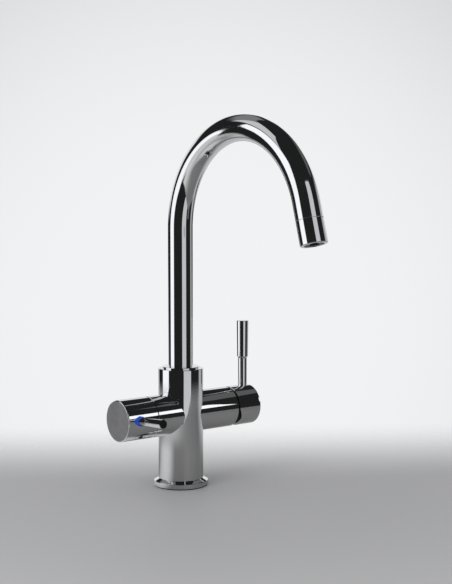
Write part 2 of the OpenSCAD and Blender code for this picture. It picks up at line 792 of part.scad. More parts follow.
// Handle cap over the dome, with its relieved mouth, boss, lever seat and pry notch
module handle_cap() color(CHROME) difference() {
    union() {
        difference() {
            right(mouth_x) shell(cap_len);
            right(mouth_x - past) cylinder(r = hollow_r + 0.1, h = pivot_x - mouth_x + past + 2);
            right(pivot_x) sphere(r = hollow_r);
        }
        right(boss_x) cylinder(r = boss_r, h = pivot_x + hollow_r + 1.5 - boss_x);
    }
    mouth_relief();
    translate([boss_x - past, -stem_w / 2 - fit_gap, barrel_z - stem_w / 2 - fit_gap])
        cube([cap_len, stem_w + 2 * fit_gap, stem_w + 2 * fit_gap]);
    translate([lever_x, 0, barrel_z + barrel_r - seat_drop])
        cylinder(d = rod_d + 2 * fit_gap, h = seat_drop + past);
    translate([lever_x, 0, barrel_z + barrel_r - seat_drop - thread_len - 0.3])
        cylinder(r = thread_r + fit_gap, h = thread_len + past);
    translate([handle_grub_x, 0, barrel_z]) rotate([180, 0, 0])
        cylinder(r = grub_r + fit_gap, h = barrel_r + past);
    right(cap_end - notch_depth) rotate([0, 0, -90 - notch_angle])
        translate([disc_r - past, -notch_w / 2, 0])
            cube([disc_rim + 2 * past, notch_w, notch_depth + past]);
}

// Wedge taken from the lower half of the mouth, which lets the lever tilt outwards
module mouth_relief() {
    translate([mouth_x, 0, barrel_z]) rotate([90, 0, 0]) linear_extrude(2 * barrel_d, center = true)
        polygon([
            [0, 0], [-barrel_r, 0], [-barrel_r, -barrel_d], [barrel_d * tan(mouth_slope), -barrel_d]
        ]);
}

// Cover disc in the cap's end
module handle_end_disc() color(SATIN) right(cap_end - disc_t + 0.02)
    cylinder(r = disc_r, h = disc_t - 0.02);

// Screw that clamps the cap to the stem
module handle_grub_screw() color(STEEL) translate([handle_grub_x, 0, barrel_z - stem_w / 2 - 0.05])
    rotate([180, 0, 0]) grub_screw(grub_len);

// Plain lower rod of the lever, threaded into the cap
module lever_rod() color(CHROME) translate([lever_x, 0, barrel_z]) {
    translate([0, 0, barrel_r - seat_drop - thread_len]) rod(thread_r, thread_len + past);
    translate([0, 0, barrel_r - seat_drop + 0.02])
        cylinder(d = rod_d, h = grip_z - barrel_r + seat_drop - 0.02);
    translate([0, 0, grip_z - past]) rod(spigot_r, spigot_len + past);
}

// Thicker grip that flares towards its top
module lever_grip() color(CHROME) translate([lever_x, 0, barrel_z + grip_z]) difference() {
    turned([
        [0, 0.02], [rod_d / 2, 0.02], [grip_d / 2, grip_cone],
        [grip_tip_d / 2, lever_h - grip_z - chamfer],
        [grip_tip_d / 2 - chamfer, lever_h - grip_z], [0, lever_h - grip_z]
    ]);
    translate([0, 0, -past]) cylinder(r = spigot_r + fit_gap, h = spigot_len + past + 0.3);
}

// Frame of the pin lever, with Z outwards from the barrel axis
module at_pin() {
    translate([-pin_x, 0, barrel_z]) rotate([90 - pin_angle, 0, 0]) children();
}

// Filter knob, hollow over the valve and splined on its spindle
module filter_knob() color(CHROME) difference() {
    left(knob_x) shell(knob_len);
    left(knob_x - past) cylinder(r = knob_hollow_r, h = knob_hollow + past);
    left(knob_x) linear_extrude(knob_len + past) spline_outline(fit_gap);
    at_pin() translate([0, 0, barrel_r - marker_seat])
        cylinder(d = marker_d + 2 * fit_gap, h = marker_seat + past);
    at_pin() translate([0, 0, barrel_r - marker_seat - pin_thread_len - 0.3])
        cylinder(r = pin_thread_r + fit_gap, h = pin_thread_len + past);
    translate([-knob_grub_x, 0, barrel_z]) rotate([90 + knob_grub_angle, 0, 0])
        cylinder(r = grub_r + fit_gap, h = barrel_r + past);
}

// Toothed outline of the spindle's end, grown by a clearance
module spline_outline(grow) {
    polygon([
        for (i = [0:2 * spline_teeth - 1])
            let (r = spline_r + grow - (i % 2) * spline_cut, a = 180 / spline_teeth * i)
                [r * cos(a), r * sin(a)]
    ]);
}

// Satin disc in the knob's end
module knob_end_disc() color(SATIN) left(knob_end - disc_t + 0.02)
    cylinder(r = disc_r, h = disc_t - 0.02);

// Screw that clamps the knob to the spindle
module knob_grub_screw() color(STEEL) translate([-knob_grub_x, 0, barrel_z])
    rotate([90 + knob_grub_angle, 0, 0]) translate([0, 0, spline_r + 0.1]) grub_screw(grub_len);

// Rod of the pin lever, threaded into the knob
module filter_pin() color(CHROME) at_pin() {
    translate([0, 0, barrel_r - marker_seat - pin_thread_len]) rod(pin_thread_r, pin_thread_len + past);
    translate([0, 0, barrel_r - marker_seat + 0.02])
        cylinder(d = pin_d, h = pin_grip_x - barrel_r + marker_seat - 0.02);
    translate([0, 0, pin_grip_x - past]) rod(pin_spigot_r, pin_spigot_len + past);
}

// Thicker end of the pin lever, with a shallow socket in its tip
module pin_grip() color(CHROME) at_pin() translate([0, 0, pin_grip_x]) difference() {
    turned([
        [0, 0.02], [pin_d / 2, 0.02], [pin_grip_d / 2, pin_cone],
        [pin_tip_d / 2, pin_reach - pin_grip_x - chamfer],
        [pin_tip_d / 2 - chamfer, pin_reach - pin_grip_x], [0, pin_reach - pin_grip_x]
    ]);
    translate([0, 0, -past]) cylinder(r = pin_spigot_r + fit_gap, h = pin_spigot_len + past + 0.3);
    translate([0, 0, pin_reach - pin_grip_x - plug_depth])
        cylinder(r = pin_tip_d / 2 - pin_rim, h = plug_depth + past);
}

// Black plug that closes the pin lever's tip
module pin_end_plug() color(BLACK) at_pin() translate([0, 0, pin_reach - plug_depth + 0.02])
    cylinder(r = pin_tip_d / 2 - pin_rim - fit_gap, h = plug_depth - plug_inset - 0.02);

// Blue ring that marks the cold filtered water
module marker_ring() color(BLUE) at_pin() translate([0, 0, barrel_r - marker_seat + 0.02])
    turned([
        [pin_d / 2 + fit_gap, 0], [marker_d / 2, 0], [marker_d / 2, marker_seat + marker_len - chamfer],
        [marker_d / 2 - chamfer, marker_seat + marker_len],
        [pin_d / 2 + fit_gap, marker_seat + marker_len]
    ]);

// Spindle of the filter valve, from its slotted driving plate to its splined end
module valve_spindle() color(BRASS) difference() {
    spindle_blank();
    translate([-spindle_x, 0, barrel_z])
        cube([2 * spindle_slot, 2 * spindle_slot, 2 * valve_bore_r], center = true);
}

// Spindle before its outlet slot is cut
module spindle_blank() {
    left(0) turned([
        [0, spindle_x], [valve_disc_r, spindle_x], [valve_disc_r, spindle_step_x - 0.1],
        [spindle_r, spindle_step_x - 0.1], [spindle_r, spindle_o_x - 0.8],
        [spindle_r - 1.4, spindle_o_x - 0.8], [spindle_r - 1.4, spindle_o_x + 0.8],
        [spindle_r, spindle_o_x + 0.8], [spindle_r, valve_nose_x],
        [spindle_r - clip_groove, valve_nose_x], [spindle_r - clip_groove, valve_nose_x + clip_t + 0.1],
        [spindle_r - run_gap, valve_nose_x + clip_t + 0.1],
        [spindle_r - run_gap, valve_nose_x + clip_t + 0.1 + spindle_collar_t],
        [0, valve_nose_x + clip_t + 0.1 + spindle_collar_t]
    ]);
    left(valve_nose_x + clip_t) linear_extrude(spline_end - valve_nose_x - clip_t) spline_outline(0);
}

// Rubber ring in the spindle's groove
module spindle_o_ring() color(RUBBER) left(spindle_o_x) o_ring(spindle_r - 1.38, 1.38);

// Ceramic disc that the spindle turns
module valve_moving_disc() color(CERAMIC) left(valve_moving_x) half_ported_disc(0);

base_seal();
base_flange();
tap_body();
spout_ring_nut();
upper_bush();
lower_bush();
filter_tube_seal();
hot_port_seal();
cold_port_seal();
mixed_port_seal();
cartridge_base();
fixed_disc();
cartridge_housing();
cartridge_nut();
cartridge_dome();
valve_seal();
valve_body();
valve_fixed_disc();
valve_clip();
spout_tube();
spout_shank();
upper_o_ring();
lower_o_ring();
filter_tube();
tip_socket();
aerator_collar();
aerator_washer();
aerator_screen();
aerator_insert();
filter_nozzle();
cartridge_carrier();
tilt_pin();
moving_disc();
disc_slider();
cartridge_stem();
handle_cap();
handle_end_disc();
handle_grub_screw();
lever_rod();
lever_grip();
filter_knob();
knob_end_disc();
knob_grub_screw();
filter_pin();
pin_grip();
pin_end_plug();
marker_ring();
valve_spindle();
spindle_o_ring();
valve_moving_disc();
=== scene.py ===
import math

import bmesh
import bpy
from mathutils import Matrix, Vector


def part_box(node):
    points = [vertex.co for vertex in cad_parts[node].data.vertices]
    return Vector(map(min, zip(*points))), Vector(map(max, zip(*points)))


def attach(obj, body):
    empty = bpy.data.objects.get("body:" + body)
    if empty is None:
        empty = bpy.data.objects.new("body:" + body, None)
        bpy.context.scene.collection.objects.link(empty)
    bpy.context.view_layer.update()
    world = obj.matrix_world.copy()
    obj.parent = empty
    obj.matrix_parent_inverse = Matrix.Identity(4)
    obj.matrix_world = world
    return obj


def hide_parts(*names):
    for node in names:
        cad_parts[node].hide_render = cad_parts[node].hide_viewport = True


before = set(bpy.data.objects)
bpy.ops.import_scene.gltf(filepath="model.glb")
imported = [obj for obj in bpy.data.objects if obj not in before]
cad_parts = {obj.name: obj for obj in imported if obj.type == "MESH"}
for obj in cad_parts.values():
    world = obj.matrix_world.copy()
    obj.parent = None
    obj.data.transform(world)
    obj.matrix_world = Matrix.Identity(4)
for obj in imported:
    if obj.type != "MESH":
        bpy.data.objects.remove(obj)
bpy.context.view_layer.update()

MM = 0.001


# Camera, which stands left of the spout and a little below its top

CAMERA_PLACE = (-0.750, -1.032, 0.3155)
CAMERA_TURN = -38.28
CAMERA_DIP = 4.43
FOCAL_LENGTH = 47.3
SENSOR_HEIGHT = 24.0


def place_camera():
    """Camera solved from the photograph: place in metres, angles in degrees, lens in mm."""
    lens = bpy.data.cameras.new("photo_camera")
    lens.sensor_fit = "VERTICAL"
    lens.sensor_height = SENSOR_HEIGHT
    lens.lens = FOCAL_LENGTH
    lens.clip_start = 0.01
    lens.clip_end = 100.0
    camera = add_to_scene("photo_camera", lens)
    camera.location = CAMERA_PLACE
    camera.rotation_euler = (math.radians(90 - CAMERA_DIP), 0, math.radians(CAMERA_TURN))
    bpy.context.scene.camera = camera


# Small helpers for objects, meshes and node trees

def add_to_scene(name, data):
    item = bpy.data.objects.new(name, data)
    bpy.context.scene.collection.objects.link(item)
    return item


def close_mesh(bm, name, material):
    """Turns a finished bmesh into a mesh that wears one material."""
    mesh = bpy.data.meshes.new(name)
    bm.to_mesh(mesh)
    bm.free()
    mesh.materials.append(material)
    return mesh


def feed(tree, socket, value):
    """Links a socket, or sets it to a plain value."""
    if isinstance(value, bpy.types.NodeSocket):
        tree.links.new(value, socket)
    else:
        socket.default_value = value


def calculate(tree, operation, *values, clamp=False):
    node = tree.nodes.new("ShaderNodeMath")
    node.operation = operation
    node.use_clamp = clamp
    for socket, value in zip(node.inputs, values):
        feed(tree, socket, value)
    return node.outputs[0]


def vector_maths(tree, operation, *vectors):
    node = tree.nodes.new("ShaderNodeVectorMath")
    node.operation = operation
    for socket, vector in zip(node.inputs, vectors):
        feed(tree, socket, vector)
    return node.outputs


def split_axes(tree, vector):
    node = tree.nodes.new("ShaderNodeSeparateXYZ")
    tree.links.new(vector, node.inputs[0])
    return node.outputs


def ramp_between(tree, value, low, high, out_low=0.0, out_high=1.0):
    """Smooth step of a value from low to high."""
    node = tree.nodes.new("ShaderNodeMapRange")
    node.interpolation_type = "SMOOTHSTEP"
    for name, number in (("Value", value), ("From Min", low), ("From Max", high),
                         ("To Min", out_low), ("To Max", out_high)):
        feed(tree, node.inputs[name], number)
    return node.outputs["Result"]


def fall_between(tree, value, low, high):
    return ramp_between(tree, value, low, high, 1.0, 0.0)


def choose_by_ray(tree, ray, seen, otherwise):
    """Gives one value to rays of one kind, and the other value to the rest."""
    change = calculate(tree, "SUBTRACT", seen, otherwise)
    return calculate(tree, "MULTIPLY_ADD", ray, change, otherwise)


def mix_colours(tree, factor, first, second):
    node = tree.nodes.new("ShaderNodeMix")
    node.data_type = "RGBA"
    feed(tree, node.inputs[0], factor)
    feed(tree, node.inputs[6], first)
    feed(tree, node.inputs[7], second)
    return node.outputs[2]


def noise(tree, vector, scale, detail=2.0, roughness=0.5):
    node = tree.nodes.new("ShaderNodeTexNoise")
    feed(tree, node.inputs["Vector"], vector)
    feed(tree, node.inputs["Scale"], scale)
    node.inputs["Detail"].default_value = detail
    node.inputs["Roughness"].default_value = roughness
    return node.outputs["Fac"]


FLOAT = "NodeSocketFloat"
VECTOR = "NodeSocketVector"
COLOUR = "NodeSocketColor"


def new_group(name, inputs, outputs):
    """Starts a node group with named sockets: each input is (name, type, usual value)."""
    group = bpy.data.node_groups.new(name, "ShaderNodeTree")
    for label, kind, usual in inputs:
        socket = group.interface.new_socket(label, in_out="INPUT", socket_type=kind)
        if usual is not None:
            socket.default_value = usual
    for label, kind in outputs:
        group.interface.new_socket(label, in_out="OUTPUT", socket_type=kind)
    given = group.nodes.new("NodeGroupInput").outputs
    out = group.nodes.new("NodeGroupOutput").inputs
    return group, given, out


# Effects that several finishes share

WIPE_STRETCH = (40.0, 900.0, 260.0)
WIPE_TURN = (0.5, 0.3, 0.7)


def build_polish_haze():
    """Roughness that drifts from buffed to handled, in soft patches and fine wipe marks."""
    group, given, out = new_group("Polish Haze", [
        ("Position", VECTOR, None), ("Patch Scale", FLOAT, 28.0),
        ("Polished", FLOAT, None), ("Handled", FLOAT, None)], [("Roughness", FLOAT)])
    cloud = noise(group, given["Position"], given["Patch Scale"], detail=3.0, roughness=0.55)
    patches = ramp_between(group, cloud, 0.42, 0.72)
    wipes = group.nodes.new("ShaderNodeMapping")
    wipes.inputs["Scale"].default_value = WIPE_STRETCH
    wipes.inputs["Rotation"].default_value = WIPE_TURN
    group.links.new(given["Position"], wipes.inputs["Vector"])
    lines = noise(group, wipes.outputs[0], 1.0, detail=1.0)
    streaks = ramp_between(group, lines, 0.55, 0.75, 0.0, 0.35)
    amount = calculate(group, "ADD", patches, streaks, clamp=True)
    span = calculate(group, "SUBTRACT", given["Handled"], given["Polished"])
    roughness = calculate(group, "MULTIPLY_ADD", amount, span, given["Polished"])
    group.links.new(roughness, out["Roughness"])
    return group


def build_surface_ripple():
    """Height of the slow waviness and the faint orange peel under plating."""
    group, given, out = new_group("Surface Ripple", [
        ("Position", VECTOR, None), ("Wave Scale", FLOAT, None), ("Peel Scale", FLOAT, 700.0),
        ("Peel", FLOAT, 0.08)], [("Height", FLOAT)])
    waves = noise(group, given["Position"], given["Wave Scale"], detail=1.0)
    peel = noise(group, given["Position"], given["Peel Scale"], detail=1.0)
    group.links.new(calculate(group, "MULTIPLY_ADD", peel, given["Peel"], waves), out["Height"])
    return group


def build_turning_marks():
    """Fine rings that a lathe tool leaves: they change along one direction only."""
    group, given, out = new_group("Turning Marks", [
        ("Along", FLOAT, None), ("Spacing Scale", FLOAT, 2500.0)], [("Height", FLOAT)])
    rings = group.nodes.new("ShaderNodeTexNoise")
    rings.noise_dimensions = "1D"
    rings.inputs["Detail"].default_value = 2.0
    group.links.new(given["Along"], rings.inputs["W"])
    group.links.new(given["Spacing Scale"], rings.inputs["Scale"])
    group.links.new(rings.outputs["Fac"], out["Height"])
    return group


def build_fine_grain():
    """Height and mask of a fine even grain, with a few larger specks."""
    group, given, out = new_group("Fine Grain", [
        ("Position", VECTOR, None), ("Grain Scale", FLOAT, None),
        ("Speck Scale", FLOAT, 420.0)], [("Height", FLOAT), ("Specks", FLOAT)])
    grain = noise(group, given["Position"], given["Grain Scale"], roughness=0.6)
    specks = ramp_between(group, noise(group, given["Position"], given["Speck Scale"]), 0.62, 0.7)
    group.links.new(calculate(group, "MULTIPLY_ADD", specks, 0.35, grain), out["Height"])
    group.links.new(specks, out["Specks"])
    return group


def build_colour_drift():
    """Colour that drifts softly between two near shades."""
    group, given, out = new_group("Colour Drift", [
        ("Position", VECTOR, None), ("Drift Scale", FLOAT, 35.0),
        ("Shade", COLOUR, None), ("Other Shade", COLOUR, None)], [("Color", COLOUR)])
    cloud = noise(group, given["Position"], given["Drift Scale"], detail=3.0, roughness=0.6)
    drift = ramp_between(group, cloud, 0.35, 0.65)
    colour = mix_colours(group, drift, given["Shade"], given["Other Shade"])
    group.links.new(colour, out["Color"])
    return group


EFFECTS = {
    "haze": build_polish_haze(),
    "ripple": build_surface_ripple(),
    "turning": build_turning_marks(),
    "grain": build_fine_grain(),
    "drift": build_colour_drift(),
}


def use(tree, effect, **values):
    """Places a shared effect in a material with its own values."""
    node = tree.nodes.new("ShaderNodeGroup")
    node.node_tree = EFFECTS[effect]
    for name, value in values.items():
        feed(tree, node.inputs[name.replace("_", " ")], value)
    return node.outputs


# Finishes of the tap

def start_finish(name, **plain):
    """Starts a material, with the plain numbers that its shader keeps all over."""
    finish = bpy.data.materials.new(name)
    finish.use_nodes = True
    tree = finish.node_tree
    surface = tree.nodes["Principled BSDF"]
    for socket, number in plain.items():
        surface.inputs[socket.replace("_", " ")].default_value = number
    position = tree.nodes.new("ShaderNodeTexCoord").outputs["Object"]
    return finish, tree, surface, position


def shade(colour):
    return (*colour, 1.0)


def drifting_colour(tree, position, colour, other, **drift):
    return use(tree, "drift", Position=position, Shade=shade(colour), Other_Shade=shade(other),
               **drift)["Color"]


def tint(tree, surface, position, colour, other, **drift):
    """Gives the surface a colour that drifts between two near shades."""
    feed(tree, surface.inputs["Base Color"],
         drifting_colour(tree, position, colour, other, **drift))


def buff(tree, surface, position, polished, handled, **haze):
    """Gives the surface its roughness, from the buffed parts to the handled ones."""
    roughness = use(tree, "haze", Position=position, Polished=polished, Handled=handled, **haze)
    feed(tree, surface.inputs["Roughness"], roughness["Roughness"])


def bump(tree, surface, height, depth, strength=1.0):
    """Depth is how far the full height stands out, in metres."""
    node = tree.nodes.new("ShaderNodeBump")
    node.inputs["Strength"].default_value = strength
    node.inputs["Distance"].default_value = depth
    feed(tree, node.inputs["Height"], height)
    tree.links.new(node.outputs["Normal"], surface.inputs["Normal"])


CHROME = (0.83, 0.84, 0.86)
CHROME_DARKER = tuple(part * 0.965 for part in CHROME)


def plated(name, wave_scale, wave_depth):
    """Bright chrome over a polished base."""
    finish, tree, surface, position = start_finish(name, Metallic=1.0)
    tint(tree, surface, position, CHROME, CHROME_DARKER, Drift_Scale=18.0)
    buff(tree, surface, position, polished=0.02, handled=0.055)
    ripple = use(tree, "ripple", Position=position, Wave_Scale=wave_scale, Peel=0.05)
    bump(tree, surface, ripple["Height"], wave_depth)
    return finish


def satin_plated():
    """Fine blasted chrome of the two end discs."""
    finish, tree, surface, position = start_finish("satin_chrome", Metallic=1.0)
    tint(tree, surface, position, (0.36, 0.36, 0.37), (0.32, 0.32, 0.33), Drift_Scale=60.0)
    buff(tree, surface, position, polished=0.36, handled=0.44, Patch_Scale=70.0)
    grain = use(tree, "grain", Position=position, Grain_Scale=3200.0)
    bump(tree, surface, grain["Height"], 0.02 * MM, strength=0.6)
    return finish


def machined(name, colour, other, along, polished, handled):
    """Metal as the lathe left it, with rings that follow each other along one axis."""
    finish, tree, surface, position = start_finish(name, Metallic=1.0)
    tint(tree, surface, position, colour, other)
    buff(tree, surface, position, polished, handled)
    turning = use(tree, "turning", Along=split_axes(tree, position)[along])
    bump(tree, surface, turning["Height"], 0.015 * MM)
    return finish


def moulded(name, colour, other, rough, depth=0.03 * MM, specular=0.5):
    """Injection-moulded plastic or rubber with a fine eroded texture."""
    finish, tree, surface, position = start_finish(name, Specular_IOR_Level=specular)
    tint(tree, surface, position, colour, other)
    buff(tree, surface, position, polished=rough, handled=rough + 0.12)
    grain = use(tree, "grain", Position=position, Grain_Scale=1500.0)
    bump(tree, surface, grain["Height"], depth, strength=0.5)
    return finish


def blue_lacquer():
    """Glossy blue of the marker ring."""
    finish, tree, surface, position = start_finish(
        "blue_marker", Coat_Weight=0.6, Coat_Roughness=0.05)
    tint(tree, surface, position, (0.012, 0.13, 0.86), (0.01, 0.09, 0.70), Drift_Scale=140.0)
    buff(tree, surface, position, polished=0.16, handled=0.28)
    ripple = use(tree, "ripple", Position=position, Wave_Scale=300.0)
    bump(tree, surface, ripple["Height"], 0.01 * MM)
    return finish


def lapped_ceramic():
    """Alumina disc: near white, with a soft lapped gloss and grey specks."""
    finish, tree, surface, position = start_finish("lapped_ceramic")
    grain = use(tree, "grain", Position=position, Grain_Scale=2600.0, Speck_Scale=900.0)
    base = drifting_colour(tree, position, (0.80, 0.79, 0.76), (0.76, 0.75, 0.72))
    feed(tree, surface.inputs["Base Color"],
         mix_colours(tree, grain["Specks"], base, shade((0.62, 0.61, 0.58))))
    buff(tree, surface, position, polished=0.18, handled=0.26)
    bump(tree, surface, grain["Height"], 0.006 * MM, strength=0.4)
    return finish


FINISHES = {
    "cast_chrome": plated("cast_chrome", wave_scale=26.0, wave_depth=0.06 * MM),
    "tube_chrome": plated("tube_chrome", wave_scale=14.0, wave_depth=0.04 * MM),
    "turned_chrome": plated("turned_chrome", wave_scale=20.0, wave_depth=0.03 * MM),
    "satin_chrome": satin_plated(),
    "brass": machined("brass", (0.80, 0.60, 0.30), (0.72, 0.52, 0.25), along="X",
                      polished=0.22, handled=0.34),
    "steel": machined("steel", (0.62, 0.62, 0.63), (0.55, 0.55, 0.56), along="Z",
                      polished=0.25, handled=0.36),
    "rubber": moulded("rubber", (0.022, 0.022, 0.024), (0.032, 0.032, 0.033), rough=0.58,
                      depth=0.04 * MM, specular=0.35),
    "black_plastic": moulded("black_plastic", (0.012, 0.012, 0.013), (0.020, 0.020, 0.021),
                             rough=0.30),
    "plug_black": moulded("plug_black", (0.006, 0.006, 0.006), (0.009, 0.009, 0.009),
                          rough=0.45, depth=0.01 * MM, specular=0.20),
    "dome_black": moulded("dome_black", (0.008, 0.008, 0.009), (0.012, 0.012, 0.013),
                          rough=0.35, depth=0.004 * MM, specular=0.25),
    "white_plastic": moulded("white_plastic", (0.78, 0.78, 0.74), (0.72, 0.72, 0.68),
                             rough=0.34),
    "ceramic": lapped_ceramic(),
    "blue_marker": blue_lacquer(),
}

WEARS = {
    "cast_chrome": ["tap_body"],
    "tube_chrome": ["spout_tube", "tip_socket"],
    "turned_chrome": ["base_flange", "spout_ring_nut", "aerator_collar", "handle_cap",
                      "lever_rod", "lever_grip", "filter_knob", "filter_pin", "pin_grip"],
    "satin_chrome": ["handle_end_disc", "knob_end_disc"],
    "brass": ["cartridge_nut", "valve_body", "spout_shank", "valve_spindle"],
    "steel": ["valve_clip", "aerator_screen", "tilt_pin", "cartridge_stem",
              "handle_grub_screw", "knob_grub_screw"],
    "rubber": ["base_seal", "filter_tube_seal", "hot_port_seal", "cold_port_seal",
               "mixed_port_seal", "valve_seal", "upper_o_ring", "lower_o_ring",
               "aerator_washer", "spindle_o_ring"],
    "black_plastic": ["aerator_insert", "filter_nozzle"],
    "plug_black": ["pin_end_plug"],
    "dome_black": ["cartridge_dome"],
    "white_plastic": ["upper_bush", "lower_bush", "cartridge_base", "cartridge_housing",
                      "filter_tube", "cartridge_carrier", "disc_slider"],
    "ceramic": ["fixed_disc", "valve_fixed_disc", "moving_disc", "valve_moving_disc"],
    "blue_marker": ["marker_ring"],
}


def dress_nodes():
    for finish, names in WEARS.items():
        for name in names:
            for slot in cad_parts[name].material_slots:
                slot.material = FINISHES[finish]


# Studio: pale to the camera, and a dark room with soft panels to the chrome, as in the photograph

TAP_TO_CAMERA = math.radians(-126.0)

# Brightness of the room: between the panels in the chrome, and as light on matt surfaces
DARK_ROOM = 0.016
PLAIN_ROOM = 0.62
ROOM_TINT = (0.985, 0.99, 1.0)

# Backdrop that the camera sees, which is brightest round one direction
BACKDROP_DIM, BACKDROP_BRIGHT = 0.60, 0.90
GLOW_CENTRE = Vector((0.60, 0.79, -0.11)).normalized()
GLOW_INNER, GLOW_OUTER = math.radians(3), math.radians(26)

# Each panel: degrees round from the camera, to the photograph's right where positive, half width
# in degrees, lowest and highest angle in degrees, softness of its edge, brightness
PANELS = [
    (-84.0, 21.0, -20.0, 31.0, 0.03, 1.15),
    (-84.0, 21.0, -40.0, -18.0, 0.06, 0.68),
    (-97.0, 25.0, 33.0, 62.0, 0.05, 0.62),
    (-145.0, 42.0, 32.0, 62.0, 0.30, 0.22),
    (35.0, 20.0, -40.0, 44.0, 0.03, 0.62),
    (73.0, 8.0, -40.0, -10.0, 0.05, 0.15),
    (118.0, 17.0, -40.0, 28.0, 0.25, 0.50),
    (180.0, 40.0, -55.0, -1.0, 0.20, 0.60),
    (180.0, 50.0, -1.0, 26.0, 0.10, 0.85),
]


def build_softbox():
    """Brightness of a flat soft panel far away, by the direction that a ray leaves in."""
    group, given, out = new_group("Softbox", [
        ("Direction", VECTOR, None), ("Turn", FLOAT, None), ("Half Width", FLOAT, None),
        ("Low", FLOAT, None), ("High", FLOAT, None), ("Edge", FLOAT, None),
        ("Level", FLOAT, None)], [("Light", FLOAT)])
    turned = group.nodes.new("ShaderNodeVectorRotate")
    turned.rotation_type = "Z_AXIS"
    feed(group, turned.inputs["Vector"], given["Direction"])
    feed(group, turned.inputs["Angle"], calculate(group, "MULTIPLY", given["Turn"], -1.0))
    axes = split_axes(group, turned.outputs[0])
    ahead = calculate(group, "MAXIMUM", axes["X"], 0.001)
    across = calculate(group, "ABSOLUTE", calculate(group, "DIVIDE", axes["Y"], ahead))
    up = calculate(group, "DIVIDE", axes["Z"], ahead)
    window = calculate(group, "GREATER_THAN", axes["X"], 0.002)
    for larger, smaller in ((given["Half Width"], across), (up, given["Low"]),
                            (given["High"], up)):
        room = calculate(group, "SUBTRACT", larger, smaller)
        inside = ramp_between(group, room, 0.0, given["Edge"])
        window = calculate(group, "MULTIPLY", window, inside)
    group.links.new(calculate(group, "MULTIPLY", window, given["Level"]), out["Light"])
    return group


def hang_panels(tree, direction):
    """Brightness that the chrome mirrors from the room: the brightest panel, or the dark."""
    softbox = build_softbox()
    mirrored = DARK_ROOM
    for turn, half, low, high, edge, level in PANELS:
        panel = tree.nodes.new("ShaderNodeGroup")
        panel.node_tree = softbox
        feed(tree, panel.inputs["Direction"], direction)
        for name, number in (("Turn", TAP_TO_CAMERA + math.radians(turn)),
                             ("Half Width", math.tan(math.radians(half))),
                             ("Low", math.tan(math.radians(low))),
                             ("High", math.tan(math.radians(high))),
                             ("Edge", edge), ("Level", level)):
            feed(tree, panel.inputs[name], number)
        mirrored = calculate(tree, "MAXIMUM", panel.outputs["Light"], mirrored)
    return mirrored


def build_world():
    world = bpy.data.worlds.new("studio")
    bpy.context.scene.world = world
    world.use_nodes = True
    tree = world.node_tree
    tree.nodes.clear()
    direction = tree.nodes.new("ShaderNodeTexCoord").outputs["Generated"]
    mirrored = hang_panels(tree, direction)
    glow = vector_maths(tree, "DOT_PRODUCT", direction, GLOW_CENTRE)["Value"]
    backdrop = ramp_between(tree, glow, math.cos(GLOW_OUTER), math.cos(GLOW_INNER),
                            BACKDROP_DIM, BACKDROP_BRIGHT)
    rays = tree.nodes.new("ShaderNodeLightPath").outputs
    level = choose_by_ray(tree, rays["Is Glossy Ray"], mirrored, PLAIN_ROOM)
    level = choose_by_ray(tree, rays["Is Camera Ray"], backdrop, level)
    background = tree.nodes.new("ShaderNodeBackground")
    background.inputs["Color"].default_value = shade(ROOM_TINT)
    tree.links.new(level, background.inputs["Strength"])
    output = tree.nodes.new("ShaderNodeOutputWorld")
    tree.links.new(background.outputs[0], output.inputs["Surface"])


# Floor, whose distances are metres from the column's axis

def heading(turn):
    return (math.cos(turn), math.sin(turn), 0.0)


AWAY_FROM_CAMERA = heading(TAP_TO_CAMERA + math.pi)
LIT_SIDE = heading(TAP_TO_CAMERA + math.radians(-83.0))

FLOOR_RADIUS = 6.0
FLOOR_GREY = (0.50, 0.50, 0.505)

# What the chrome mirrors of the floor, from dark to pale, near the tap and further out: painted
# shade near the tap and on the right, painted light towards the lit side, the left and the back
# right
NEAR_PAINTED_SHADE, NEAR_PAINTED_LIGHT = (0.268, 0.264, 0.258), (0.80, 0.80, 0.785)
FAR_PAINTED_SHADE, FAR_PAINTED_LIGHT = (0.25, 0.248, 0.243), (0.86, 0.86, 0.84)
BACK_PAINTED_LIGHT = (0.74, 0.74, 0.73)

# Stretches over which one of these colours gives way to the next. The lit side's is a cosine
LIT_SIDE_SPAN = (0.55, 1.0)
PALE_LEFT_SPAN = (-0.60, 0.02)
NEAR_SPAN = (0.20, 0.32)
BACK_SPAN = (0.09, 0.44)
MIRRORED_SPAN = (0.45, 0.80)

# Where the floor fades out, for the chrome, for the camera and for all other rays
MIRRORED_FRONT = (-0.415, -0.385)
MIRRORED_FADE = (0.50, 0.80)
CAMERA_FADE = (0.0, 0.36)
PLAIN_FADE = (0.20, 1.30)


def mirrored_floor_light_and_shade(tree, position, axes, distance):
    """Colour of the floor in the chrome: dark with painted shade, and pale with painted light
    towards the lit side and the left.
    """
    outwards = vector_maths(tree, "NORMALIZE", position)["Vector"]
    towards_light = vector_maths(tree, "DOT_PRODUCT", outwards, LIT_SIDE)["Value"]
    # Painted light on the floor towards the lit side, painted shade near the tap elsewhere
    near = mix_colours(tree, ramp_between(tree, towards_light, *LIT_SIDE_SPAN),
                       shade(NEAR_PAINTED_SHADE), shade(NEAR_PAINTED_LIGHT))
    # Painted light on the floor to the left, painted shade to the right
    far = mix_colours(tree, fall_between(tree, axes["X"], *PALE_LEFT_SPAN),
                      shade(FAR_PAINTED_SHADE), shade(FAR_PAINTED_LIGHT))
    return mix_colours(tree, fall_between(tree, distance, *NEAR_SPAN), far, near)


